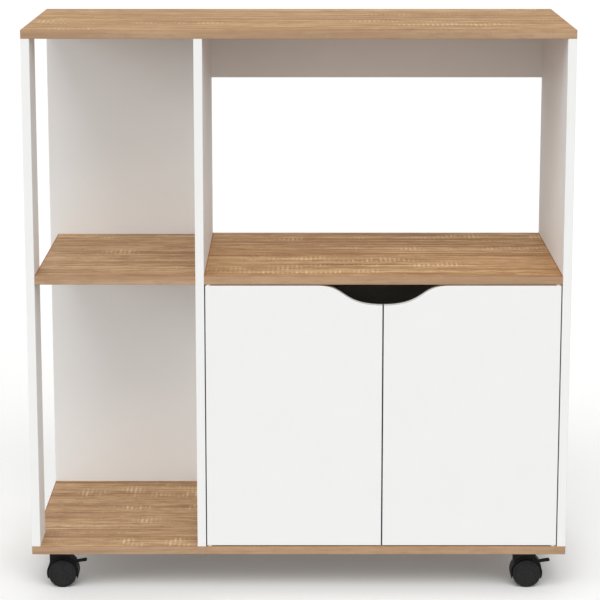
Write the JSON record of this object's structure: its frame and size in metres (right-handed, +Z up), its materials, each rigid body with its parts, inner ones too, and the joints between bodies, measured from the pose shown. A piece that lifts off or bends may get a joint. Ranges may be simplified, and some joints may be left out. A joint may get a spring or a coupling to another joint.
{
  "type": "kitchen trolley",
  "caption": "White and oak-look kitchen trolley on casters, with an open side bay, an appliance niche and an inset double-door cabinet with a shared finger cut-out",
  "frame": {"origin": "middle of the footprint on the floor, at the casters' lowest points", "axes": "+X to the right seen from the front, +Y from the front to the back, +Z up"},
  "size_m": [0.76, 0.35, 0.8],
  "materials": {
    "oak_board": "rough-sawn oak decor",
    "white_board": "white melamine",
    "white_hardboard": "white lacquer",
    "beech": "turned",
    "white_plastic": "moulded",
    "magnet": "sintered",
    "zinc_steel": "zinc plated",
    "black_nylon": "moulded",
    "wheel_nylon": "moulded"
  },
  "bodies": {
    "carcass": {"worktop": "oak_board", "bottom_board": "oak_board", "left_front_post": "white_board", "left_back_panel": "white_board", "divider_panel": "white_board", "right_side_panel": "white_board", "left_shelf": "oak_board", "cabinet_top_shelf": "oak_board", "rear_crossbar": "white_board", "cabinet_back": "white_hardboard", "pivot_bushes": "white_plastic", "catch_housings": "white_plastic", "catch_magnets": "magnet", "catch_screws": "zinc_steel", "dowels": "beech", "cam_bolts": "zinc_steel", "cam_locks": "zinc_steel", "cam_caps": "white_plastic", "assembly_screws": "zinc_steel", "screw_caps": "white_plastic", "swivel_washers": "black_nylon", "caster_plate_screws": "zinc_steel", "front_left_caster_plate": "zinc_steel", "front_left_caster_kingpin": "zinc_steel", "front_right_caster_plate": "zinc_steel", "front_right_caster_kingpin": "zinc_steel", "rear_left_caster_plate": "zinc_steel", "rear_left_caster_kingpin": "zinc_steel", "rear_right_caster_plate": "zinc_steel", "rear_right_caster_kingpin": "zinc_steel"},
    "left_door": {"left_door": "white_board", "left_door_pivot_pins": "zinc_steel", "left_strike_plate": "zinc_steel"},
    "right_door": {"right_door": "white_board", "right_door_pivot_pins": "zinc_steel", "right_strike_plate": "zinc_steel"},
    "front_left_caster": {"front_left_caster_hood": "black_nylon", "front_left_caster_axle": "zinc_steel", "front_left_brake_pin": "zinc_steel"},
    "front_left_front_wheel": {"front_left_caster_front_wheel": "wheel_nylon"},
    "front_left_back_wheel": {"front_left_caster_back_wheel": "wheel_nylon"},
    "front_left_brake": {"front_left_brake_lever": "black_nylon"},
    "front_right_caster": {"front_right_caster_hood": "black_nylon", "front_right_caster_axle": "zinc_steel", "front_right_brake_pin": "zinc_steel"},
    "front_right_front_wheel": {"front_right_caster_front_wheel": "wheel_nylon"},
    "front_right_back_wheel": {"front_right_caster_back_wheel": "wheel_nylon"},
    "front_right_brake": {"front_right_brake_lever": "black_nylon"},
    "rear_left_caster": {"rear_left_caster_hood": "black_nylon", "rear_left_caster_axle": "zinc_steel"},
    "rear_left_front_wheel": {"rear_left_caster_front_wheel": "wheel_nylon"},
    "rear_left_back_wheel": {"rear_left_caster_back_wheel": "wheel_nylon"},
    "rear_right_caster": {"rear_right_caster_hood": "black_nylon", "rear_right_caster_axle": "zinc_steel"},
    "rear_right_front_wheel": {"rear_right_caster_front_wheel": "wheel_nylon"},
    "rear_right_back_wheel": {"rear_right_caster_back_wheel": "wheel_nylon"}
  },
  "joints": [
    {"name": "brake_lever_front_left", "type": "hinge", "parent": "front_left_caster", "child": "front_left_brake", "pos_m": [-0.3247, -0.144, 0.0384], "axis": [0, 1, 0], "range_deg": [0, 10]},
    {"name": "brake_lever_front_right", "type": "hinge", "parent": "front_right_caster", "child": "front_right_brake", "pos_m": [0.3413, -0.144, 0.0384], "axis": [0, 1, 0], "range_deg": [0, 10]},
    {"name": "cabinet_door_left", "type": "hinge", "parent": "carcass", "child": "left_door", "pos_m": [-0.1262, -0.1708, 0.256], "axis": [0, 0, -1], "range_deg": [0, 100]},
    {"name": "cabinet_door_right", "type": "hinge", "parent": "carcass", "child": "right_door", "pos_m": [0.3622, -0.1708, 0.256], "axis": [0, 0, 1], "range_deg": [0, 100]},
    {"name": "caster_swivel_front_left", "type": "hinge", "parent": "carcass", "child": "front_left_caster", "pos_m": [-0.333, -0.144, 0.042], "axis": [0, 0, 1], "continuous": true},
    {"name": "caster_swivel_front_right", "type": "hinge", "parent": "carcass", "child": "front_right_caster", "pos_m": [0.333, -0.144, 0.042], "axis": [0, 0, 1], "continuous": true},
    {"name": "caster_swivel_rear_left", "type": "hinge", "parent": "carcass", "child": "rear_left_caster", "pos_m": [-0.333, 0.144, 0.042], "axis": [0, 0, 1], "continuous": true},
    {"name": "caster_swivel_rear_right", "type": "hinge", "parent": "carcass", "child": "rear_right_caster", "pos_m": [0.333, 0.144, 0.042], "axis": [0, 0, 1], "continuous": true},
    {"name": "wheel_front_left_back", "type": "hinge", "parent": "front_left_caster", "child": "front_left_back_wheel", "pos_m": [-0.339, -0.144, 0.02], "axis": [0, 1, 0], "continuous": true},
    {"name": "wheel_front_left_front", "type": "hinge", "parent": "front_left_caster", "child": "front_left_front_wheel", "pos_m": [-0.339, -0.144, 0.02], "axis": [0, 1, 0], "continuous": true},
    {"name": "wheel_front_right_back", "type": "hinge", "parent": "front_right_caster", "child": "front_right_back_wheel", "pos_m": [0.327, -0.144, 0.02], "axis": [0, 1, 0], "continuous": true},
    {"name": "wheel_front_right_front", "type": "hinge", "parent": "front_right_caster", "child": "front_right_front_wheel", "pos_m": [0.327, -0.144, 0.02], "axis": [0, 1, 0], "continuous": true},
    {"name": "wheel_rear_left_back", "type": "hinge", "parent": "rear_left_caster", "child": "rear_left_back_wheel", "pos_m": [-0.339, 0.144, 0.02], "axis": [0, 1, 0], "continuous": true},
    {"name": "wheel_rear_left_front", "type": "hinge", "parent": "rear_left_caster", "child": "rear_left_front_wheel", "pos_m": [-0.339, 0.144, 0.02], "axis": [0, 1, 0], "continuous": true},
    {"name": "wheel_rear_right_back", "type": "hinge", "parent": "rear_right_caster", "child": "rear_right_back_wheel", "pos_m": [0.327, 0.144, 0.02], "axis": [0, 1, 0], "continuous": true},
    {"name": "wheel_rear_right_front", "type": "hinge", "parent": "rear_right_caster", "child": "rear_right_front_wheel", "pos_m": [0.327, 0.144, 0.02], "axis": [0, 1, 0], "continuous": true}
  ]
}
